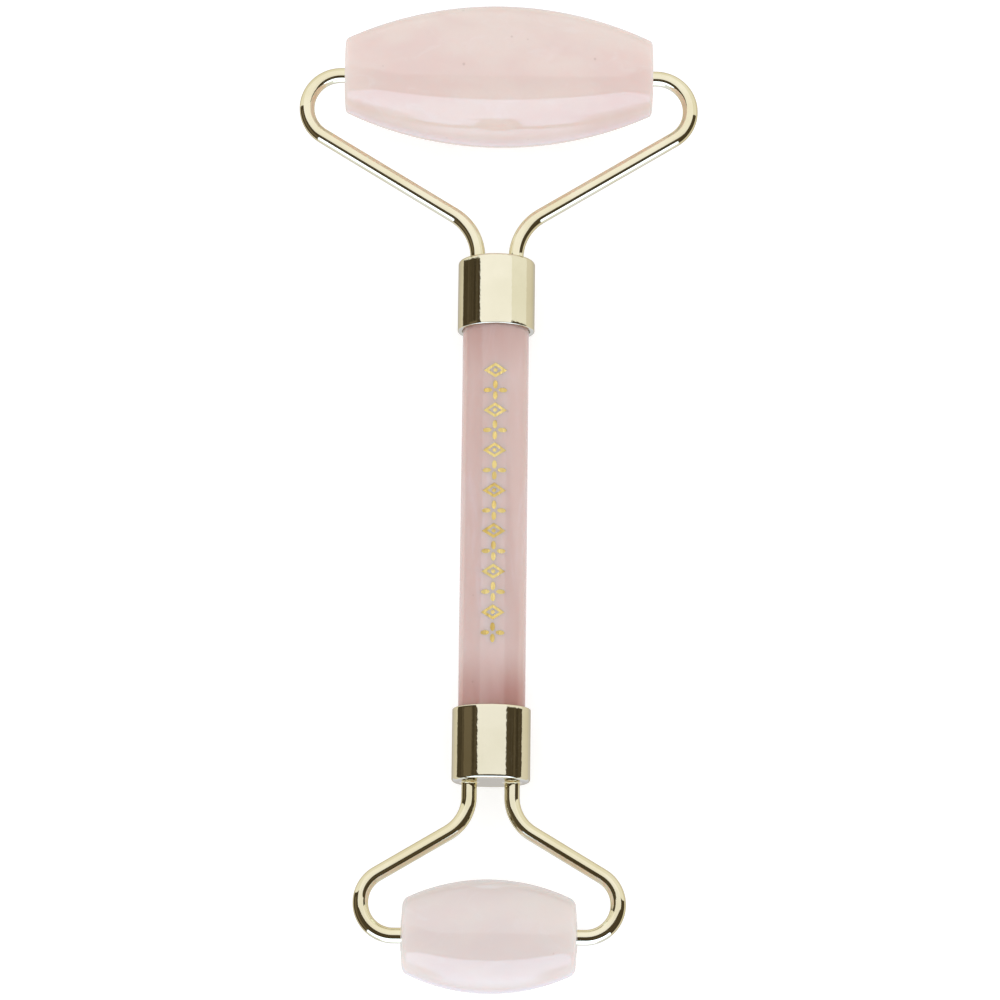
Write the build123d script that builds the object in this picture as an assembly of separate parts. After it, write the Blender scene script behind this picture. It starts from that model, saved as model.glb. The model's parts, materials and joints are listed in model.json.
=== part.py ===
"""Double-ended face roller: two barrel stones that spin on wire forks, one at each end of a stone grip.

The pieces are first built flat, with the grip's axis on Y, the axles along X and the large stone at the
+Y end.  They are then laid down as the roller lies on a table, on the crowns of both stones, with the
origin under the middle of the whole roller.
"""

import math
import os
from dataclasses import dataclass

from build123d import *

# Grip and ferrules, in millimetres
GRIP_DIAMETER = 9.6
GRIP_EXPOSED = 55.5
GRIP_END_CHAMFER = 0.3
FERRULE_DIAMETER = 11.2
FERRULE_LENGTH = 10.5
FERRULE_WALL = 0.7
FERRULE_END_THICKNESS = 0.9
FERRULE_END_ROUND = 0.5
FERRULE_MOUTH_BEVEL = 0.3

# What each ferrule holds behind its closed end
BRAZE_POOL_DEPTH = 1.6
TAIL_DEPTH_IN_POOL = 1.2
ADHESIVE_END_DEPTH = 0.4
BRAZE_FILLET = 0.35

# Wire and the closed liners that it turns in
WIRE_DIAMETER = 2.2
WIRE_TIP_CHAMFER = 0.25
LINER_DIAMETER = 3.6
LINER_RUNNING_GAP = 0.04
LINER_END_THICKNESS = 0.8
LINER_FLANGE_DIAMETER = 4.4
LINER_FLANGE_THICKNESS = 0.3
STUB_DEPTH = 7.6
STUB_END_GAP = 0.2

# Gilded ornament engraved along the grip
ORNAMENT_COUNT = 14
ORNAMENT_PITCH = 2.95
ORNAMENT_SHIFT = 1.75
ORNAMENT_HALF_WIDTH = 1.7
ORNAMENT_HALF_LENGTH = 1.12
LOZENGE_STROKE = 0.5
LOZENGE_DOT_RADIUS = 0.3
PETAL_HALF_LENGTH = 0.62
PETAL_HALF_WIDTH = 0.34
ENGRAVING_DEPTH = 0.2
GILDING_RECESS = 0.08


@dataclass(frozen=True)
class Head:
    """One end of the roller: a barrel stone on a fork of two bent wires."""

    name: str
    stone_name: str
    stone_length: float
    stone_diameter: float
    crown_radius: float  # of the barrel's side, seen along the table
    end_dome: float  # how far the stone's ends bulge
    edge_round: float
    reach: float  # from the ferrule's closed end to the axle
    half_width: float  # from the grip's axis to the wire's outermost centreline
    tail_offset: float  # from the grip's axis to the wire where it enters the ferrule
    splay_angle: float  # of the wire's straight run, from the axle's direction, in degrees
    bend_radius: float  # of the wire's bend near the ferrule
    elbow_radius: float  # of the wire's return into the stone


LARGE = Head(
    name="upper",
    stone_name="large",
    stone_length=45.4,
    stone_diameter=20.8,
    crown_radius=54.0,
    end_dome=0.1,
    edge_round=0.7,
    reach=28.4,
    half_width=28.3,
    tail_offset=2.8,
    splay_angle=31.4,
    bend_radius=7.5,
    elbow_radius=5.05,
)
SMALL = Head(
    name="lower",
    stone_name="small",
    stone_length=24.8,
    stone_diameter=16.0,
    crown_radius=27.2,
    end_dome=0.25,
    edge_round=1.4,
    reach=21.8,
    half_width=18.2,
    tail_offset=3.05,
    splay_angle=30.75,
    bend_radius=6.0,
    elbow_radius=4.65,
)

# Worked out from the driving dimensions
GRIP_RADIUS = GRIP_DIAMETER / 2
WIRE_RADIUS = WIRE_DIAMETER / 2
CUP_RADIUS = FERRULE_DIAMETER / 2 - FERRULE_WALL
ROD_INSERTION = FERRULE_LENGTH - FERRULE_END_THICKNESS - BRAZE_POOL_DEPTH - ADHESIVE_END_DEPTH
FERRULE_END_Y = GRIP_EXPOSED / 2 + FERRULE_LENGTH
TAIL_DEPTH = FERRULE_END_THICKNESS + TAIL_DEPTH_IN_POOL
LARGE_AXLE_Y = FERRULE_END_Y + LARGE.reach
SMALL_AXLE_Y = -FERRULE_END_Y - SMALL.reach


def along_y(radius, start, length):
    """A cylinder on the Y axis from start, running towards +Y."""
    return Plane.XZ.offset(-start) * Cylinder(
        radius, length, align=(Align.CENTER, Align.CENTER, Align.MAX)
    )


def along_x(radius, start, length):
    """A cylinder on the X axis from start, running towards +X."""
    return Plane.YZ.offset(start) * Cylinder(
        radius, length, align=(Align.CENTER, Align.CENTER, Align.MIN)
    )


def lozenge_outline():
    """A hollow lozenge with a dot in the middle, flat on XY."""

    def lozenge(half_width, half_length):
        corners = [(half_width, 0), (0, half_length), (-half_width, 0), (0, -half_length)]
        return make_face(Polyline(*corners, close=True))

    shrink = 1 - LOZENGE_STROKE / ORNAMENT_HALF_LENGTH
    inside = lozenge(ORNAMENT_HALF_WIDTH * shrink, ORNAMENT_HALF_LENGTH * shrink)
    outline = lozenge(ORNAMENT_HALF_WIDTH, ORNAMENT_HALF_LENGTH) - inside
    return outline + Circle(LOZENGE_DOT_RADIUS)


def rosette():
    """Four petals round an empty centre, flat on XY."""
    petal = Ellipse(PETAL_HALF_LENGTH, PETAL_HALF_WIDTH)
    across = ORNAMENT_HALF_WIDTH - PETAL_HALF_LENGTH
    along = ORNAMENT_HALF_LENGTH - PETAL_HALF_LENGTH / 2
    petals = [Pos(side * across, 0) * petal for side in (1, -1)]
    petals += [Pos(0, side * along) * Rot(Z=90) * petal for side in (1, -1)]
    return Sketch() + petals


def ornament_row():
    """The ornaments' footprints, alternately lozenges and rosettes, in a row along Y."""
    kinds = (lozenge_outline(), rosette())
    first = ORNAMENT_SHIFT + ORNAMENT_PITCH * (ORNAMENT_COUNT - 1) / 2
    row = [
        Pos(0, first - number * ORNAMENT_PITCH) * kinds[number % 2]
        for number in range(ORNAMENT_COUNT)
    ]
    return Sketch() + row


def engraved(outer_radius, inner_radius):
    """The ornaments, pressed into the top of the grip between two radii."""
    length = ORNAMENT_PITCH * (ORNAMENT_COUNT + 1)
    start = ORNAMENT_SHIFT - length / 2
    shell = along_y(outer_radius, start, length) - along_y(inner_radius, start, length)
    return extrude(ornament_row(), GRIP_RADIUS + 1) & shell


def plain_rod():
    """The grip before it is engraved: a round rod with chamfered ends."""
    length = GRIP_EXPOSED + 2 * ROD_INSERTION
    rod = along_y(GRIP_RADIUS, -length / 2, length)
    return chamfer(rod.edges().filter_by(GeomType.CIRCLE), GRIP_END_CHAMFER)


def handle_rod():
    """The stone grip with its engraving."""
    return plain_rod() - engraved(GRIP_RADIUS + ENGRAVING_DEPTH, GRIP_RADIUS - ENGRAVING_DEPTH)


def handle_gilding():
    """The gold in the engraving, a little below the stone's surface."""
    return engraved(GRIP_RADIUS - GILDING_RECESS, GRIP_RADIUS - ENGRAVING_DEPTH)


def ferrule(head):
    """A drawn cup whose closed end has a hole for each wire."""
    mouth = FERRULE_END_Y - FERRULE_LENGTH
    cup = along_y(FERRULE_DIAMETER / 2, mouth, FERRULE_LENGTH)
    end_rim = cup.edges().filter_by(GeomType.CIRCLE).sort_by(Axis.Y)[-1]
    cup = fillet(end_rim, FERRULE_END_ROUND)
    cup -= along_y(CUP_RADIUS, mouth, FERRULE_LENGTH - FERRULE_END_THICKNESS)
    mouth_rim = cup.edges().filter_by(GeomType.CIRCLE).group_by(Axis.Y)[0].sort_by(SortBy.RADIUS)[0]
    cup = chamfer(mouth_rim, FERRULE_MOUTH_BEVEL)
    for side in (1, -1):
        cup -= Pos(side * head.tail_offset) * along_y(
            WIRE_RADIUS, FERRULE_END_Y - 2 * FERRULE_END_THICKNESS, 4 * FERRULE_END_THICKNESS
        )
    return cup


def braze_pool(head):
    """The braze that holds both wires' tails inside the ferrule."""
    bottom = FERRULE_END_Y - FERRULE_END_THICKNESS - BRAZE_POOL_DEPTH
    pool = along_y(CUP_RADIUS, bottom, BRAZE_POOL_DEPTH)
    for side in (1, -1):
        pool -= Pos(side * head.tail_offset) * along_y(
            WIRE_RADIUS, FERRULE_END_Y - TAIL_DEPTH, TAIL_DEPTH
        )
    return pool


def braze_fillet(head):
    """The hollow ring of braze round one wire, outside the ferrule's closed end."""
    foot = (WIRE_RADIUS + BRAZE_FILLET, 0)
    top = (WIRE_RADIUS, BRAZE_FILLET)
    section = make_face(
        [
            Line((WIRE_RADIUS, 0), foot),
            RadiusArc(foot, top, -BRAZE_FILLET),
            Line(top, (WIRE_RADIUS, 0)),
        ]
    )
    ring = revolve(section, Axis.Y)
    return Pos(head.tail_offset, FERRULE_END_Y) * ring


def adhesive():
    """The epoxy between the grip's end and the ferrule."""
    mouth = FERRULE_END_Y - FERRULE_LENGTH + FERRULE_MOUTH_BEVEL
    bottom = FERRULE_END_Y - FERRULE_END_THICKNESS - BRAZE_POOL_DEPTH
    return along_y(CUP_RADIUS, mouth, bottom - mouth) - plain_rod()


def arm(head):
    """The fork's +X wire: out of the ferrule, round a bend, up a straight run and back into the stone."""
    splay = math.radians(head.splay_angle)
    elbow_x = head.half_width - head.elbow_radius
    elbow_y = FERRULE_END_Y + head.reach - head.elbow_radius
    bend_x = head.tail_offset + head.bend_radius
    # The straight run is tangent to the bend and to the elbow, on its two sides.
    bend_y = elbow_y - (
        head.elbow_radius + head.bend_radius + math.sin(splay) * (elbow_x - bend_x)
    ) / math.cos(splay)
    run_angle = head.splay_angle - 90
    bend = CenterArc((bend_x, bend_y), head.bend_radius, 180, run_angle)
    elbow = CenterArc((elbow_x, elbow_y), head.elbow_radius, run_angle, 90 - run_angle)
    tail = Line((head.tail_offset, FERRULE_END_Y - TAIL_DEPTH), bend @ 0)
    run = Line(bend @ 1, elbow @ 0)
    stub = Line(elbow @ 1, (head.stone_length / 2 - STUB_DEPTH, FERRULE_END_Y + head.reach))
    route = Wire([tail, bend, run, elbow, stub])
    wire = sweep(Plane(origin=route @ 0, z_dir=route % 0) * Circle(WIRE_RADIUS), path=route)
    tip = wire.edges().filter_by(GeomType.CIRCLE).sort_by_distance(stub @ 1)[0]
    return chamfer(tip, WIRE_TIP_CHAMFER)


def stone(head):
    """A barrel stone on the X axis with domed, round-edged ends, bored through and sunk for the liners."""
    half = head.stone_length / 2
    crown = head.stone_diameter / 2
    rim_x = half - head.end_dome
    rim_y = crown - head.crown_radius + math.sqrt(head.crown_radius**2 - rim_x**2)
    dome_x = half - head.end_dome / 4
    side = ThreePointArc((-rim_x, rim_y), (0, crown), (rim_x, rim_y))
    right_end = ThreePointArc((rim_x, rim_y), (dome_x, rim_y / 2), (half, 0))
    left_end = ThreePointArc((-half, 0), (-dome_x, rim_y / 2), (-rim_x, rim_y))
    profile = make_face([side, right_end, Line((half, 0), (-half, 0)), left_end])
    barrel = revolve(profile, Axis.X)
    rims = [edge for edge in barrel.edges().filter_by(GeomType.CIRCLE) if abs(edge.radius - rim_y) < 0.01]
    barrel = fillet(rims, head.edge_round)
    for seat in (-half, half - LINER_FLANGE_THICKNESS):
        barrel -= along_x(LINER_FLANGE_DIAMETER / 2, seat, LINER_FLANGE_THICKNESS)
    return barrel - along_x(LINER_DIAMETER / 2, -half, head.stone_length)


def liner(head):
    """The +X liner: a plastic cup pressed into the stone's bore, its thin flange flush with the stone's end."""
    face = head.stone_length / 2
    seat = face - LINER_FLANGE_THICKNESS
    bottom = face - STUB_DEPTH - STUB_END_GAP
    closed_end = bottom - LINER_END_THICKNESS
    cup = along_x(LINER_DIAMETER / 2, closed_end, seat - closed_end)
    cup += along_x(LINER_FLANGE_DIAMETER / 2, seat, LINER_FLANGE_THICKNESS)
    return cup - along_x(WIRE_RADIUS + LINER_RUNNING_GAP, bottom, face - bottom)


def head_pieces(head):
    """The nodes of one end, with the ferrule towards -Y and the stone towards +Y."""
    to_axle = Pos(0, FERRULE_END_Y + head.reach)
    mirrored = {
        f"{head.name}_{{}}_arm": arm(head),
        f"{head.name}_{{}}_braze_fillet": braze_fillet(head),
        f"{head.stone_name}_{{}}_liner": to_axle * liner(head),
    }
    pieces = {
        f"{head.name}_ferrule": ferrule(head),
        f"{head.name}_braze_pool": braze_pool(head),
        f"{head.name}_adhesive": adhesive(),
        f"{head.stone_name}_stone": to_axle * stone(head),
    }
    for name, piece in mirrored.items():
        pieces[name.format("right")] = piece
        pieces[name.format("left")] = piece.mirror(Plane.YZ)
    return pieces


def lying_pose():
    """Where the flat assembly goes when both crowns rest on the table."""
    large_radius = LARGE.stone_diameter / 2
    small_radius = SMALL.stone_diameter / 2
    axle_distance = LARGE_AXLE_Y - SMALL_AXLE_Y
    tilted = Rot(X=math.degrees(math.asin((large_radius - small_radius) / axle_distance)))
    axles_middle = (tilted * Pos(0, (LARGE_AXLE_Y + SMALL_AXLE_Y) / 2)).position
    # The larger radius puts the middle of the whole length beyond the middle of the two axles.
    shift_y = -axles_middle.Y - (large_radius - small_radius) / 2
    shift_z = -axles_middle.Z + (large_radius + small_radius) / 2
    return Pos(0, shift_y, shift_z) * tilted


def main():
    pieces = {"handle_rod": handle_rod(), "handle_gilding": handle_gilding()}
    pieces |= head_pieces(LARGE)
    turned = Rot(Z=180)
    # Turned end for end, the small head's +X side becomes its -X side.
    swap = {"left": "right", "right": "left"}
    for name, piece in head_pieces(SMALL).items():
        words = [swap.get(word, word) for word in name.split("_")]
        pieces["_".join(words)] = turned * piece
    pose = lying_pose()
    os.makedirs("parts", exist_ok=True)
    for name, piece in pieces.items():
        export_step(pose * piece, f"parts/{name}.step")
    for name, axle_y in (("large", LARGE_AXLE_Y), ("small", SMALL_AXLE_Y)):
        print(name, "axle at", (pose * Pos(0, axle_y)).position)


main()
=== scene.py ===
"""Looks of the double-ended face roller: a quartz barrel on a gold wire fork at each end of a quartz grip."""

import json
import math

import bpy
from mathutils import Matrix, Vector


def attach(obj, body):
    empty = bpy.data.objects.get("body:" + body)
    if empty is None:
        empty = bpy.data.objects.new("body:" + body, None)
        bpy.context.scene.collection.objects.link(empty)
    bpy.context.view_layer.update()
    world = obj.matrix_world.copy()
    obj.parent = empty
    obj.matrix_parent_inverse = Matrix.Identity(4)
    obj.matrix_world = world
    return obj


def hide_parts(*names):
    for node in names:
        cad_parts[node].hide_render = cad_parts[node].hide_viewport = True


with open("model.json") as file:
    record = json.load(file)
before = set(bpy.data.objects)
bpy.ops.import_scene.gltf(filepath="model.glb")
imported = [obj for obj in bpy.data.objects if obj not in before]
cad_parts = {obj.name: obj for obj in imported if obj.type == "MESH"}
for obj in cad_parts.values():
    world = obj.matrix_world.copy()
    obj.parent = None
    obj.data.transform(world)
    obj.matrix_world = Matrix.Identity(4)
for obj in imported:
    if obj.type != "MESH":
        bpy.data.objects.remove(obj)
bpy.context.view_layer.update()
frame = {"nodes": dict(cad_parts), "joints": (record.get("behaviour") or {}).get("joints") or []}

MM = 0.001

# Grip, ferrules and wire, in millimetres
GRIP_LENGTH = 55.5
FERRULE_LENGTH = 10.5
FERRULE_RADIUS = 5.6
FERRULE_INNER_RADIUS = 4.9
FERRULE_END_THICKNESS = 0.9
FERRULE_END_ROUND = 0.5
FERRULE_LIP_ROUND = 0.16
WIRE_RADIUS = 1.1
WIRE_TAIL_DEPTH = 2.1
WIRE_TIP_CHAMFER = 0.25
STUB_DEPTH = 7.6
BRAZE_FILLET = 0.35
FLANGE_RADIUS = 2.2
FLANGE_THICKNESS = 0.3
LINER_RADIUS = 1.8

# Only in the visual meshes: the hair-thin hole on a ferrule's axis, and the braze's overlap
AXIS_CLEARANCE = 0.01
BRAZE_OVERLAP = 0.05

# Segments round a piece, and the angle in degrees from which an edge stays sharp
STONE_SEGMENTS = 160
FERRULE_SEGMENTS = 128
WIRE_SEGMENTS = 48
SMOOTH_ANGLE = 40

FERRULE_END = GRIP_LENGTH / 2 + FERRULE_LENGTH

# The two ends: stone, then fork, in millimetres and degrees
HEADS = {
    "upper": {
        "stone": "large_stone",
        "body": "large_roller",
        "turned": False,
        "stone_length": 45.4,
        "stone_diameter": 20.8,
        "crown_radius": 54.0,
        "end_dome": 0.1,
        "edge_round": 0.7,
        "reach": 28.4,
        "half_width": 28.3,
        "tail_offset": 2.8,
        "splay": 31.4,
        "bend_radius": 7.5,
        "elbow_radius": 5.05,
    },
    "lower": {
        "stone": "small_stone",
        "body": "small_roller",
        "turned": True,
        "stone_length": 24.8,
        "stone_diameter": 16.0,
        "crown_radius": 27.2,
        "end_dome": 0.25,
        "edge_round": 1.4,
        "reach": 21.8,
        "half_width": 18.2,
        "tail_offset": 3.05,
        "splay": 30.75,
        "bend_radius": 6.0,
        "elbow_radius": 4.65,
    },
}

# Where the camera stands, in millimetres and degrees: nearly overhead, a little beyond the small stone
LENS = 130.7
SENSOR = 36.0
CAMERA_DISTANCE = 524.2
CAMERA_LEAN = 11.75
CAMERA_ROLL = 0.66
AIM_ACROSS = 0.86
AIM_BELOW_LARGE_AXLE = 63.88


def axle(joint_name):
    """A spin joint's place in the row frame, in metres."""
    for joint in frame["joints"]:
        if joint["name"] == joint_name:
            return Vector(joint["pos_m"])
    raise KeyError(joint_name)


large_axle = axle("large_roller_spin")
small_axle = axle("small_roller_spin")


def own_directions():
    """The lying roller's directions: across it, along it towards the large stone, and away from the floor."""
    along = (large_axle - small_axle).normalized()
    across = Vector((1, 0, 0))
    return across, along, across.cross(along)


def lying_matrix():
    """From the flat assembly, in millimetres with the grip's middle at the origin, to the row frame."""
    across, along, up = own_directions()
    middle = large_axle - along * (FERRULE_END + HEADS["upper"]["reach"]) * MM
    turn = Matrix((across, along, up)).transposed().to_4x4()
    return Matrix.Translation(middle) @ turn @ Matrix.Scale(MM, 4)


LYING = lying_matrix()
TURNED = Matrix.Rotation(math.pi, 4, "Z")


# Mesh helpers: everything is made flat, in millimetres, and laid down by place()


def place(name, vertices, faces, body, material, turned=False, mirrored=False):
    """A smooth mesh piece in the row frame that rides on a body."""
    matrix = LYING @ (TURNED if turned else Matrix())
    if mirrored:
        matrix = matrix @ Matrix.Diagonal((-1, 1, 1, 1))
        faces = [tuple(reversed(face)) for face in faces]
    mesh = bpy.data.meshes.new(name)
    mesh.from_pydata([matrix @ Vector(vertex) for vertex in vertices], [], faces)
    mesh.validate()
    mesh.shade_smooth()
    mesh.set_sharp_from_angle(angle=math.radians(SMOOTH_ANGLE))
    mesh.materials.append(material)
    piece = bpy.data.objects.new(name, mesh)
    bpy.context.scene.collection.objects.link(piece)
    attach(piece, body)
    return piece


def ring_mesh(profile, axis, segments, shift=(0, 0, 0)):
    """Vertices and faces of a closed profile of (along, radius) points turned round the X or Y axis."""
    vertices = []
    faces = []
    count = len(profile)
    for number in range(segments):
        angle = 2 * math.pi * number / segments
        for along, radius in profile:
            u, v = radius * math.sin(angle), radius * math.cos(angle)
            point = (along, u, v) if axis == "X" else (u, along, v)
            vertices.append(tuple(Vector(point) + Vector(shift)))
    for number in range(segments):
        following = (number + 1) % segments
        for step in range(count):
            onward = (step + 1) % count
            corners = (
                number * count + step,
                number * count + onward,
                following * count + onward,
                following * count + step,
            )
            faces.append(corners if axis == "Y" else tuple(reversed(corners)))
    return vertices, faces


def arc(centre, radius, start, end, steps):
    """Points on an arc in the plane, angles in degrees, both ends included."""
    points = []
    for step in range(steps + 1):
        angle = math.radians(start + (end - start) * step / steps)
        points.append((centre[0] + radius * math.cos(angle), centre[1] + radius * math.sin(angle)))
    return points


def circles_meet(centre_a, radius_a, centre_b, radius_b):
    """The meeting point of two circles that lies on the +Y side."""
    a, b = Vector(centre_a), Vector(centre_b)
    gap = (b - a).length
    along = (radius_a**2 - radius_b**2 + gap**2) / (2 * gap)
    aside = math.sqrt(radius_a**2 - along**2)
    direction = (b - a) / gap
    normal = Vector((-direction.y, direction.x))
    points = [a + direction * along + normal * side * aside for side in (1, -1)]
    return max(points, key=lambda point: point.y)


def direction_angle(origin, point):
    """The angle of point as seen from origin, in degrees."""
    return math.degrees(math.atan2(point[1] - origin[1], point[0] - origin[0]))


def stone_profile(head):
    """A barrel's whole outline as (along, radius): its side, rims and domed ends, and its bore."""
    half = head["stone_length"] / 2
    crown = head["stone_diameter"] / 2
    side_radius = head["crown_radius"]
    edge = head["edge_round"]
    dome = head["end_dome"]
    side_centre = (0, crown - side_radius)
    rim = side_centre[1] + math.sqrt(side_radius**2 - (half - dome) ** 2)
    end_radius = (rim**2 + dome**2) / (2 * dome)
    end_centre = (half - end_radius, 0)
    edge_centre = circles_meet(side_centre, side_radius - edge, end_centre, end_radius - edge)
    side_angle = direction_angle(side_centre, edge_centre)
    end_angle = direction_angle(end_centre, edge_centre)
    seat_angle = math.degrees(math.asin(FLANGE_RADIUS / end_radius))
    right = arc(side_centre, side_radius, 90, side_angle, steps=44)
    right += arc(edge_centre, edge, side_angle, end_angle, steps=10)[1:]
    right += arc(end_centre, end_radius, end_angle, seat_angle, steps=8)[1:]
    right += [
        (half - FLANGE_THICKNESS, FLANGE_RADIUS),
        (half - FLANGE_THICKNESS, LINER_RADIUS),
    ]
    left = [(-along, radius) for along, radius in reversed(right[1:])]
    return left + right


def wire_route(head):
    """Centreline points of the +X wire, from inside the ferrule to inside the stone."""
    splay = math.radians(head["splay"])
    bend, elbow = head["bend_radius"], head["elbow_radius"]
    axle_y = FERRULE_END + head["reach"]
    elbow_centre = (head["half_width"] - elbow, axle_y - elbow)
    bend_x = head["tail_offset"] + bend
    rise = elbow + bend + math.sin(splay) * (elbow_centre[0] - bend_x)
    bend_centre = (bend_x, elbow_centre[1] - rise / math.cos(splay))
    run_angle = head["splay"] - 90
    tail_start = (head["tail_offset"], FERRULE_END - WIRE_TAIL_DEPTH)
    bend_points = arc(bend_centre, bend, 180, 180 + run_angle, steps=28)
    elbow_points = arc(elbow_centre, elbow, run_angle, 90, steps=56)
    tip = (head["stone_length"] / 2 - STUB_DEPTH, axle_y)
    points = [tail_start, *bend_points]
    points += between(bend_points[-1], elbow_points[0], steps=24)
    points += elbow_points
    points += between(elbow_points[-1], tip, steps=6)
    points.append(tip)
    return points


def between(start, end, steps):
    """Evenly spaced points between two points, ends left out."""
    return [
        (
            start[0] + (end[0] - start[0]) * step / steps,
            start[1] + (end[1] - start[1]) * step / steps,
        )
        for step in range(1, steps)
    ]


def tube_mesh(points, radius, tip_chamfer, segments):
    """Vertices and faces of a round wire along a flat route, its last end chamfered."""
    vertices = []
    faces = []
    rings = []
    for number, point in enumerate(points):
        before = Vector(points[max(number - 1, 0)])
        after = Vector(points[min(number + 1, len(points) - 1)])
        rings.append((Vector(point), (after - before).normalized(), radius))
    last, heading, _ = rings[-1]
    rings[-1] = (last - heading * tip_chamfer, heading, radius)
    rings.append((last, heading, radius - tip_chamfer))
    for centre, heading, ring_radius in rings:
        normal = Vector((-heading.y, heading.x))
        for step in range(segments):
            angle = 2 * math.pi * step / segments
            spot = centre + normal * ring_radius * math.cos(angle)
            vertices.append((spot.x, spot.y, ring_radius * math.sin(angle)))
    for ring in range(len(rings) - 1):
        for step in range(segments):
            onward = (step + 1) % segments
            low, high = ring * segments, (ring + 1) * segments
            faces.append((low + step, low + onward, high + onward, high + step))
    faces.append(tuple(reversed(range(segments))))
    top = (len(rings) - 1) * segments
    faces.append(tuple(range(top, top + segments)))
    return vertices, faces


def ferrule_profile():
    """A ferrule's wall and closed end as (along, radius), with soft edges. The wires pass through its end."""
    mouth = FERRULE_END - FERRULE_LENGTH
    lip = FERRULE_LIP_ROUND
    end = FERRULE_END_ROUND
    inside_end = FERRULE_END - FERRULE_END_THICKNESS
    profile = [(inside_end, AXIS_CLEARANCE), (inside_end, FERRULE_INNER_RADIUS)]
    profile += between((inside_end, FERRULE_INNER_RADIUS), (mouth + lip, FERRULE_INNER_RADIUS), steps=6)
    profile += arc((mouth + lip, FERRULE_INNER_RADIUS + lip), lip, 270, 180, steps=5)
    profile += arc((mouth + lip, FERRULE_RADIUS - lip), lip, 180, 90, steps=6)
    profile += between((mouth + lip, FERRULE_RADIUS), (FERRULE_END - end, FERRULE_RADIUS), steps=24)
    profile += arc((FERRULE_END - end, FERRULE_RADIUS - end), end, 90, 0, steps=10)
    profile += between((FERRULE_END, FERRULE_RADIUS - end), (FERRULE_END, AXIS_CLEARANCE), steps=8)
    profile.append((FERRULE_END, AXIS_CLEARANCE))
    return profile


def braze_profile():
    """The hollow ring of braze round a wire, outside a ferrule's end, as (along, radius)."""
    foot = FERRULE_END - BRAZE_OVERLAP
    inner = WIRE_RADIUS - BRAZE_OVERLAP
    profile = [(foot, inner), (foot, WIRE_RADIUS + BRAZE_FILLET)]
    centre = (FERRULE_END + BRAZE_FILLET, WIRE_RADIUS + BRAZE_FILLET)
    profile += arc(centre, BRAZE_FILLET, 180, 270, steps=10)
    profile.append((FERRULE_END + BRAZE_FILLET, inner))
    return profile


# Materials


class Nodes:
    """A node tree with short ways to add and join nodes."""

    def __init__(self, tree):
        self.tree = tree
        tree.nodes.clear()

    def add(self, kind, **settings):
        node = self.tree.nodes.new(kind)
        for key, value in settings.items():
            setattr(node, key, value)
        return node

    def join(self, output, socket):
        self.tree.links.new(output, socket)

    def put(self, value, socket):
        """Sets a socket, or joins an output to it."""
        if isinstance(value, bpy.types.NodeSocket):
            self.join(value, socket)
        else:
            socket.default_value = value

    def math(self, operation, first, second=0.0, third=0.0):
        node = self.add("ShaderNodeMath", operation=operation)
        for socket, value in zip(node.inputs, (first, second, third)):
            self.put(value, socket)
        return node.outputs[0]

    def ramp(self, factor, low, high, start=0.0, end=1.0):
        """A smooth change from low, where factor is at start, to high, where it is at end."""
        node = self.add("ShaderNodeMapRange", interpolation_type="SMOOTHSTEP")
        for key, value in (
            ("Value", factor),
            ("From Min", start),
            ("From Max", end),
            ("To Min", low),
            ("To Max", high),
        ):
            self.put(value, node.inputs[key])
        return node.outputs["Result"]

    def mix(self, factor, first, second):
        """A colour that is first where factor is 0 and second where it is 1."""
        node = self.add("ShaderNodeMix", data_type="RGBA")
        self.put(factor, node.inputs[0])
        self.put(first, node.inputs[6])
        self.put(second, node.inputs[7])
        return node.outputs[2]

    def noise(self, vector, scale, detail, roughness, distortion=0.0):
        node = self.add("ShaderNodeTexNoise")
        self.join(vector, node.inputs["Vector"])
        node.inputs["Scale"].default_value = scale
        node.inputs["Detail"].default_value = detail
        node.inputs["Roughness"].default_value = roughness
        node.inputs["Distortion"].default_value = distortion
        return node.outputs["Fac"]

    def place_vector(self, scale=(1, 1, 1), move=(0, 0, 0)):
        """The piece's own coordinates, stretched and moved."""
        coordinates = self.add("ShaderNodeTexCoord")
        mapping = self.add("ShaderNodeMapping")
        mapping.inputs["Scale"].default_value = scale
        mapping.inputs["Location"].default_value = move
        self.join(coordinates.outputs["Object"], mapping.inputs["Vector"])
        return mapping.outputs["Vector"]


def colour(red, green, blue):
    """A screen colour, 0 to 255, as the linear colour that a shader takes."""

    def linear(part):
        part /= 255
        return part / 12.92 if part <= 0.04045 else ((part + 0.055) / 1.055) ** 2.4

    return (linear(red), linear(green), linear(blue), 1.0)


def new_material(name):
    """A material with an empty node tree, its shader and its output."""
    material = bpy.data.materials.new(name)
    material.use_nodes = True
    nodes = Nodes(material.node_tree)
    shader = nodes.add("ShaderNodeBsdfPrincipled")
    output = nodes.add("ShaderNodeOutputMaterial")
    nodes.join(shader.outputs[0], output.inputs["Surface"])
    return material, nodes, shader


def bump(nodes, shader, height, strength, distance):
    """Adds relief to a shader from a height."""
    node = nodes.add("ShaderNodeBump")
    node.inputs["Strength"].default_value = strength
    node.inputs["Distance"].default_value = distance
    nodes.join(height, node.inputs["Height"])
    nodes.join(node.outputs["Normal"], shader.inputs["Normal"])


QUARTZ_IOR = 1.54
SPECK_STRENGTH = 0.24
SPECK_COLOUR = colour(150, 118, 108)

# How far the deeper tint reaches from the grip's ends, in millimetres
UPPER_TINT_LENGTH = 8.5
LOWER_TINT_LENGTH = 9.0


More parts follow.
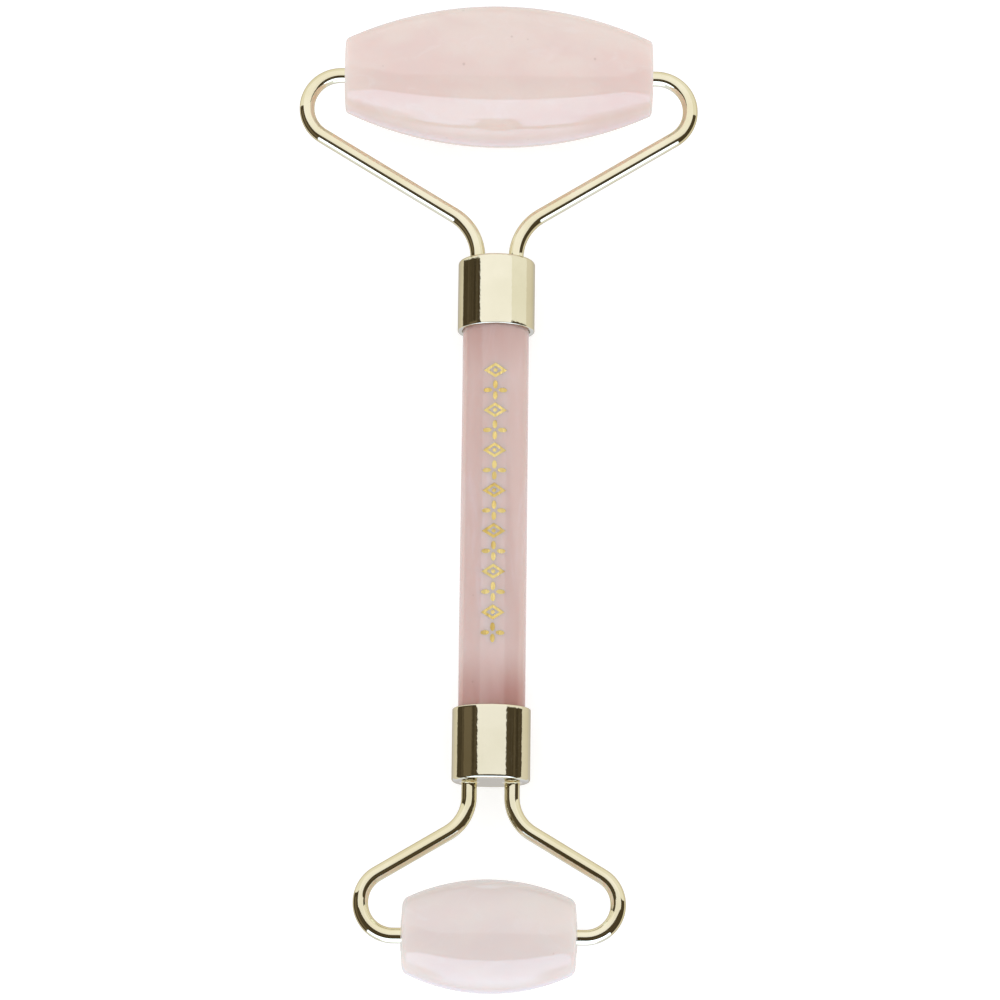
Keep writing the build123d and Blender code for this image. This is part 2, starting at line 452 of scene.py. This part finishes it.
def quartz(name, pale, deep, veil, grain, seed, scatter, end_tint=None):
    """Polished rose quartz: milky, faintly cloudy, with a few veils, specks and pits."""
    material, nodes, shader = new_material(name)
    cloud_place = nodes.place_vector(grain, (seed, 0, 0))
    cloud = nodes.noise(cloud_place, scale=85, detail=3, roughness=0.5, distortion=0.3)
    wisp_place = nodes.place_vector(grain, (0, seed, 0))
    wisps = nodes.noise(wisp_place, scale=190, detail=5, roughness=0.55, distortion=1.2)
    fine_place = nodes.place_vector((1, 1, 1), (seed, seed, 0))
    fine = nodes.noise(fine_place, scale=1500, detail=3, roughness=0.6)
    body = nodes.mix(nodes.ramp(cloud, low=0.0, high=1.0, start=0.34, end=0.66), pale, deep)
    body = nodes.mix(nodes.ramp(wisps, low=0.0, high=0.5, start=0.52, end=0.74), body, veil)
    body = nodes.mix(nodes.ramp(fine, low=0.0, high=0.2, start=0.45, end=0.75), body, deep)
    if end_tint:
        body = darker_ends(nodes, body, cloud, end_tint)
    speck = specks(nodes, seed)
    body = nodes.mix(nodes.math("MULTIPLY", speck, SPECK_STRENGTH), body, SPECK_COLOUR)
    nodes.join(body, shader.inputs["Base Color"])
    shader.inputs["Subsurface Weight"].default_value = 0.85
    shader.inputs["Subsurface Radius"].default_value = (1.0, 0.7, 0.65)
    shader.inputs["Subsurface Scale"].default_value = scatter
    shader.inputs["IOR"].default_value = QUARTZ_IOR
    polish = nodes.ramp(wisps, low=0.025, high=0.06, start=0.3, end=0.8)
    nodes.join(polish, shader.inputs["Roughness"])
    relief = nodes.math("MULTIPLY_ADD", speck, -1.0, nodes.math("MULTIPLY", fine, 0.05))
    bump(nodes, shader, relief, strength=0.15, distance=0.05 * MM)
    return material


def specks(nodes, seed):
    """1 in a few tiny round spots, and 0 between them."""
    cells = nodes.add("ShaderNodeTexVoronoi")
    nodes.join(nodes.place_vector((1, 1, 1), (0, 0, seed)), cells.inputs["Vector"])
    cells.inputs["Scale"].default_value = 420
    chosen = nodes.add("ShaderNodeSeparateColor")
    nodes.join(cells.outputs["Color"], chosen.inputs[0])
    spot = nodes.ramp(cells.outputs["Distance"], low=1.0, high=0.0, start=0.05, end=0.12)
    return nodes.math("MULTIPLY", spot, nodes.math("GREATER_THAN", chosen.outputs[0], 0.72))


def darker_ends(nodes, body, cloud, tint):
    """Mixes a deeper tint, in patches, into the stone next to the ferrules."""
    coordinates = nodes.add("ShaderNodeTexCoord")
    parts = nodes.add("ShaderNodeSeparateXYZ")
    nodes.join(coordinates.outputs["Object"], parts.inputs[0])
    middle, half = LYING.translation.y, GRIP_LENGTH / 2 * MM
    along = parts.outputs["Y"]
    upper_end, lower_end = middle + half, middle - half
    upper = nodes.ramp(along, low=0.0, high=0.45, start=upper_end - UPPER_TINT_LENGTH * MM, end=upper_end)
    lower = nodes.ramp(along, low=1.0, high=0.0, start=lower_end, end=lower_end + LOWER_TINT_LENGTH * MM)
    near = nodes.math("MAXIMUM", upper, lower)
    patchy = nodes.math("MULTIPLY", near, nodes.ramp(cloud, low=0.75, high=1.0, start=0.35, end=0.6))
    return nodes.mix(patchy, body, tint)


def gold(name, tint, deep_tint, roughness, relief, grit=0.2, edge_tint=(1, 1, 1, 1)):
    """Plated metal, slightly uneven in colour, polish and level. edge_tint is its grazing gloss."""
    material, nodes, shader = new_material(name)
    drift = nodes.noise(nodes.place_vector(), scale=160, detail=3, roughness=0.5)
    scuffs = nodes.noise(nodes.place_vector((1, 0.15, 1)), scale=2600, detail=4, roughness=0.7)
    body = nodes.mix(nodes.ramp(drift, low=0.0, high=1.0, start=0.3, end=0.7), tint, deep_tint)
    nodes.join(body, shader.inputs["Base Color"])
    shader.inputs["Metallic"].default_value = 1.0
    shader.inputs["Specular Tint"].default_value = edge_tint
    polish = nodes.ramp(scuffs, low=roughness * 0.6, high=roughness * 1.7, start=0.35, end=0.75)
    nodes.join(polish, shader.inputs["Roughness"])
    grain = nodes.noise(nodes.place_vector(), scale=2600, detail=2, roughness=0.5)
    height = nodes.math("MULTIPLY_ADD", grain, grit, drift)
    bump(nodes, shader, height, relief, distance=0.1 * MM)
    return material


def plain_plastic(name, tint, deep_tint, roughness):
    """Moulded plastic or cured glue, faintly mottled."""
    material, nodes, shader = new_material(name)
    mottle = nodes.noise(nodes.place_vector(), scale=900, detail=3, roughness=0.6)
    body = nodes.mix(nodes.ramp(mottle, low=0.0, high=1.0, start=0.35, end=0.7), tint, deep_tint)
    nodes.join(body, shader.inputs["Base Color"])
    polish = nodes.ramp(mottle, low=roughness * 0.8, high=roughness * 1.2)
    nodes.join(polish, shader.inputs["Roughness"])
    shader.inputs["Subsurface Weight"].default_value = 0.2
    shader.inputs["Subsurface Scale"].default_value = 0.4 * MM
    bump(nodes, shader, mottle, strength=0.2, distance=0.03 * MM)
    return material


large_quartz = quartz(
    "large_quartz",
    pale=colour(234, 219, 213),
    deep=colour(231, 211, 206),
    veil=colour(236, 224, 221),
    grain=(1, 1.6, 1),
    seed=3.1,
    scatter=5 * MM,
)
small_quartz = quartz(
    "small_quartz",
    pale=colour(229, 220, 216),
    deep=colour(226, 215, 213),
    veil=colour(231, 224, 223),
    grain=(1, 1.6, 1),
    seed=7.4,
    scatter=5 * MM,
)
grip_quartz = quartz(
    "grip_quartz",
    pale=colour(220, 198, 194),
    deep=colour(215, 189, 183),
    veil=colour(221, 203, 205),
    grain=(1.6, 0.4, 1.6),
    seed=1.7,
    scatter=2 * MM,
    end_tint=colour(184, 140, 132),
)

PLATE_EDGE = (0.7, 0.66, 0.57, 1)

gold_plate = gold(
    "gold_plate",
    tint=colour(240, 233, 207),
    deep_tint=colour(232, 223, 190),
    roughness=0.05,
    relief=0.05,
    edge_tint=PLATE_EDGE,
)
ferrule_plate = gold(
    "ferrule_plate",
    tint=colour(240, 234, 211),
    deep_tint=colour(234, 228, 203),
    roughness=0.05,
    relief=0.05,
    grit=1.8,
    edge_tint=PLATE_EDGE,
)
gilding_gold = gold(
    "gilding_gold",
    tint=colour(243, 221, 150),
    deep_tint=colour(228, 196, 112),
    roughness=0.4,
    relief=0.8,
)
braze_metal = gold(
    "braze_metal",
    tint=colour(228, 214, 172),
    deep_tint=colour(220, 202, 150),
    roughness=0.16,
    relief=0.5,
)
nylon = plain_plastic("nylon", colour(236, 230, 222), colour(226, 218, 208), roughness=0.45)
epoxy = plain_plastic("epoxy", colour(226, 208, 190), colour(214, 192, 172), roughness=0.3)


def paint(node, material):
    """Gives a CAD node that stays a material of this scene."""
    mesh = frame["nodes"][node].data
    mesh.materials.clear()
    mesh.materials.append(material)


# Pieces

for end, head in HEADS.items():
    turned = head["turned"]
    axle_y = FERRULE_END + head["reach"]
    stone_material = large_quartz if head["stone"] == "large_stone" else small_quartz
    vertices, faces = ring_mesh(stone_profile(head), "X", STONE_SEGMENTS, (0, axle_y, 0))
    stone = place(head["stone"] + "_polished", vertices, faces, head["body"], stone_material, turned)
    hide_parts(head["stone"])

    vertices, faces = ring_mesh(ferrule_profile(), "Y", FERRULE_SEGMENTS)
    ferrule = place(end + "_ferrule_plated", vertices, faces, "handle", ferrule_plate, turned)
    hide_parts(end + "_ferrule")

    for side, mirrored in (("right", turned), ("left", not turned)):
        vertices, faces = tube_mesh(wire_route(head), WIRE_RADIUS, WIRE_TIP_CHAMFER, WIRE_SEGMENTS)
        wire = place(f"{end}_{side}_wire", vertices, faces, "handle", gold_plate, turned, mirrored)
        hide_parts(f"{end}_{side}_arm")

        beside = (head["tail_offset"], 0, 0)
        vertices, faces = ring_mesh(braze_profile(), "Y", WIRE_SEGMENTS, beside)
        ring = place(f"{end}_{side}_braze", vertices, faces, "handle", braze_metal, turned, mirrored)
        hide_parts(f"{end}_{side}_braze_fillet")

paint("handle_rod", grip_quartz)
paint("handle_gilding", gilding_gold)
for name in ("upper_adhesive", "lower_adhesive"):
    paint(name, epoxy)
for name in ("upper_braze_pool", "lower_braze_pool"):
    paint(name, braze_metal)
for name in ("large_left_liner", "large_right_liner", "small_left_liner", "small_right_liner"):
    paint(name, nylon)


# Stage: a pale floor, a pale tent, what the polish mirrors, one soft light and the camera

FLOOR_HALF = 3.0
TENT_STRENGTH = 0.88
BACKDROP_EXTRA = 0.3

# What the polish mirrors, as linear colours: above 1 is brighter than white
DARK_CLOTH = (0.045, 0.034, 0.018, 1)
LIGHTER_CLOTH = (0.1, 0.079, 0.047, 1)
LEFT_FOLD = (0.15, 0.12, 0.073, 1)
BACK_WALL = (0.92, 0.91, 0.83, 1)
FLANKS_FOOT = (0.78, 0.74, 0.63, 1)
FRONT_CARD = (1.9, 2.3, 3.1, 1)
TABLE_SIDES = (0.84, 0.9, 1.0, 1)
TABLE_MIDDLE = (1.35, 1.6, 2.0, 1)
UNDERNEATH = (0.85, 0.92, 1.2, 1)
# A painted shadow: the roller's own contact shadow on the table, as the polish mirrors it
PAINTED_CONTACT_SHADOW = (0.72, 0.69, 0.64, 1)

# How much lower the table's far edge is in the middle than at its sides
TABLE_DIP = 0.3

# The overhead panel, in metres: height, corners anticlockwise from above, and glow in front and behind
SOFTBOX_HEIGHT = 0.42
SOFTBOX_CORNERS = [(-0.278, -0.062), (0.37, -0.062), (0.434, 0.15), (0.262, 0.9), (-1.067, 0.9)]
SOFTBOX_GLOW = (0.955, 1.045)


def floor():
    """A wide pale sheet that the roller lies on."""
    half = FLOOR_HALF
    mesh = bpy.data.meshes.new("floor")
    corners = [(-half, -half, 0), (half, -half, 0), (half, half, 0), (-half, half, 0)]
    mesh.from_pydata(corners, [], [(0, 1, 2, 3)])
    sheet = bpy.data.objects.new("floor", mesh)
    bpy.context.scene.collection.objects.link(sheet)
    material, nodes, shader = new_material("floor_paper")
    speckle = nodes.noise(nodes.place_vector(), scale=400, detail=2, roughness=0.5)
    paper = nodes.mix(speckle, colour(228, 228, 228), colour(232, 232, 232))
    nodes.join(paper, shader.inputs["Base Color"])
    shader.inputs["Emission Color"].default_value = (1, 1, 1, 1)
    shader.inputs["Emission Strength"].default_value = 0.42
    shader.inputs["Roughness"].default_value = 0.9
    shader.inputs["Specular IOR Level"].default_value = 0.1
    mesh.materials.append(material)
    sheet.visible_glossy = False


def studio():
    """A pale light tent. Gloss alone sees its parts, by direction.

    They are dark cloth with folds, a pale wall behind the large stone, a white card in front of the
    small one, and the pale table with what is right underneath, where the roller's contact shadow
    is painted in as a grey patch.
    """
    world = bpy.data.worlds.new("studio")
    bpy.context.scene.world = world
    world.use_nodes = True
    nodes = Nodes(world.node_tree)
    coordinates = nodes.add("ShaderNodeTexCoord")
    parts = nodes.add("ShaderNodeSeparateXYZ")
    nodes.join(coordinates.outputs["Generated"], parts.inputs[0])
    x, y, z = parts.outputs
    degree = math.pi / 180
    front = nodes.math("MULTIPLY", y, -1.0)
    sideways = nodes.math("ARCTAN2", x, z)
    forward = nodes.math("ARCTAN2", front, z)
    aside = nodes.math("ABSOLUTE", nodes.math("ARCTAN2", x, front))

    def beyond(value, limit, soft):
        """1 where value is over a limit and 0 where it is under, with a soft step."""
        past = nodes.math("SUBTRACT", value, limit)
        return nodes.ramp(past, low=0.0, high=1.0, start=-soft, end=soft)

    def within(value, limit, soft):
        """1 where value is under a limit and 0 where it is over, with a soft step."""
        return nodes.math("SUBTRACT", 1.0, beyond(value, limit, soft))

    def both(first, second):
        """Where two masks overlap."""
        return nodes.math("MULTIPLY", first, second)

    def leaning(level, slope):
        """A limit that changes evenly from the left flank to the right one."""
        return nodes.math("MULTIPLY_ADD", x, slope, level)

    behind = beyond(y, limit=leaning(level=0.25, slope=-0.065), soft=0.006)
    in_front = within(aside, limit=46 * degree, soft=1 * degree)
    card = both(in_front, beyond(forward, limit=56 * degree, soft=1 * degree))
    flanks_foot = within(z, limit=leaning(level=-0.345, slope=0.15), soft=0.02)
    middle = nodes.ramp(aside, low=1.0, high=0.0, start=15 * degree, end=25 * degree)
    raised = nodes.math("MULTIPLY_ADD", middle, TABLE_DIP, z)
    table = nodes.ramp(raised, low=1.0, high=0.0, start=-0.24, end=-0.06)
    bright = both(middle, nodes.ramp(z, low=0.0, high=1.0, start=-0.78, end=-0.52))
    underneath = within(z, limit=-0.8, soft=0.05)
    # Painted shade: steeply downwards, and not towards the front, the polish mirrors the roller's contact
    # shadow on the table
    below = nodes.ramp(z, low=1.0, high=0.0, start=-0.97, end=-0.62)
    contact_shadow_mask = both(below, beyond(y, limit=-0.1, soft=0.08))
    above_level = beyond(sideways, limit=-88 * degree, soft=3 * degree)
    below_shoulder = within(sideways, limit=-60 * degree, soft=4 * degree)
    left_fold = both(both(above_level, below_shoulder), within(y, limit=0.2, soft=0.03))
    parts_seen = [
        (left_fold, LEFT_FOLD),
        (behind, BACK_WALL),
        (flanks_foot, FLANKS_FOOT),
        (card, FRONT_CARD),
        (both(in_front, table), nodes.mix(bright, TABLE_SIDES, TABLE_MIDDLE)),
        (underneath, UNDERNEATH),
        (contact_shadow_mask, PAINTED_CONTACT_SHADOW),
    ]
    around = nodes.add("ShaderNodeCombineXYZ")
    nodes.join(sideways, around.inputs[0])
    waves = nodes.noise(around.outputs[0], scale=4.5, detail=2, roughness=0.6)
    folds = nodes.ramp(waves, low=0.0, high=1.0, start=0.35, end=0.65)
    seen = nodes.mix(folds, DARK_CLOTH, LIGHTER_CLOTH)
    for mask, shade in parts_seen:
        seen = nodes.mix(mask, seen, shade)
    mirrored = nodes.add("ShaderNodeBackground")
    nodes.join(seen, mirrored.inputs["Color"])
    tent = nodes.add("ShaderNodeBackground")
    tent.inputs["Color"].default_value = (1, 1, 1, 1)
    path = nodes.add("ShaderNodeLightPath")
    from_camera = path.outputs["Is Camera Ray"]
    whiter_backdrop = nodes.math("MULTIPLY_ADD", from_camera, BACKDROP_EXTRA, TENT_STRENGTH)
    nodes.join(whiter_backdrop, tent.inputs["Strength"])
    choose = nodes.add("ShaderNodeMixShader")
    nodes.join(path.outputs["Is Glossy Ray"], choose.inputs[0])
    nodes.join(tent.outputs[0], choose.inputs[1])
    nodes.join(mirrored.outputs[0], choose.inputs[2])
    output = nodes.add("ShaderNodeOutputWorld")
    nodes.join(choose.outputs[0], output.inputs["Surface"])


def softbox():
    """A wide overhead panel, seen only as a mirror image. Its front edge hangs over the small stone."""
    corners = [(x, y, SOFTBOX_HEIGHT) for x, y in SOFTBOX_CORNERS]
    facing_down = tuple(reversed(range(len(corners))))
    mesh = bpy.data.meshes.new("softbox")
    mesh.from_pydata(corners, [], [facing_down])
    panel = bpy.data.objects.new("softbox", mesh)
    bpy.context.scene.collection.objects.link(panel)
    material = bpy.data.materials.new("softbox_cloth")
    material.use_nodes = True
    nodes = Nodes(material.node_tree)
    spread = nodes.add("ShaderNodeTexCoord")
    parts = nodes.add("ShaderNodeSeparateXYZ")
    nodes.join(spread.outputs["Generated"], parts.inputs[0])
    glow = nodes.add("ShaderNodeEmission")
    brightness = nodes.ramp(parts.outputs[1], *SOFTBOX_GLOW, start=0.07, end=0.2)
    nodes.join(brightness, glow.inputs["Strength"])
    output = nodes.add("ShaderNodeOutputMaterial")
    nodes.join(glow.outputs[0], output.inputs["Surface"])
    mesh.materials.append(material)
    panel.visible_camera = False
    panel.visible_diffuse = False
    panel.visible_transmission = False
    panel.visible_volume_scatter = False
    panel.visible_shadow = False


def soft_light(name, place_at, size, power):
    """A square area light that shines at the roller and isn't seen in its polish."""
    data = bpy.data.lights.new(name, "AREA")
    data.shape = "SQUARE"
    data.size = size
    data.energy = power
    lamp = bpy.data.objects.new(name, data)
    lamp.location = place_at
    lamp.rotation_mode = "QUATERNION"
    lamp.rotation_quaternion = (-Vector(place_at)).to_track_quat("-Z", "Y")
    lamp.visible_glossy = False
    lamp.visible_camera = False
    bpy.context.scene.collection.objects.link(lamp)


def camera():
    """The camera, tipped towards the small stone, so that the roller leans a little clockwise."""
    across, along, up = own_directions()
    aim = large_axle - along * AIM_BELOW_LARGE_AXLE * MM + across * AIM_ACROSS * MM
    lean = math.radians(CAMERA_LEAN)
    back = up * math.cos(lean) - along * math.sin(lean)
    top = along * math.cos(lean) + up * math.sin(lean)
    turn = Matrix((across, top, back)).transposed().to_4x4()
    data = bpy.data.cameras.new("camera")
    data.lens = LENS
    data.sensor_width = SENSOR
    data.clip_start = 0.01
    data.clip_end = 20
    eye = bpy.data.objects.new("camera", data)
    roll = Matrix.Rotation(math.radians(CAMERA_ROLL), 4, "Z")
    eye.matrix_world = Matrix.Translation(aim + back * CAMERA_DISTANCE * MM) @ turn @ roll
    bpy.context.scene.collection.objects.link(eye)
    bpy.context.scene.camera = eye


floor()
studio()
softbox()
soft_light("key", place_at=(-0.1, -0.2, 0.9), size=1.2, power=1.3)
camera()

view = bpy.context.scene.view_settings
view.view_transform = "Standard"
view.look = "None"
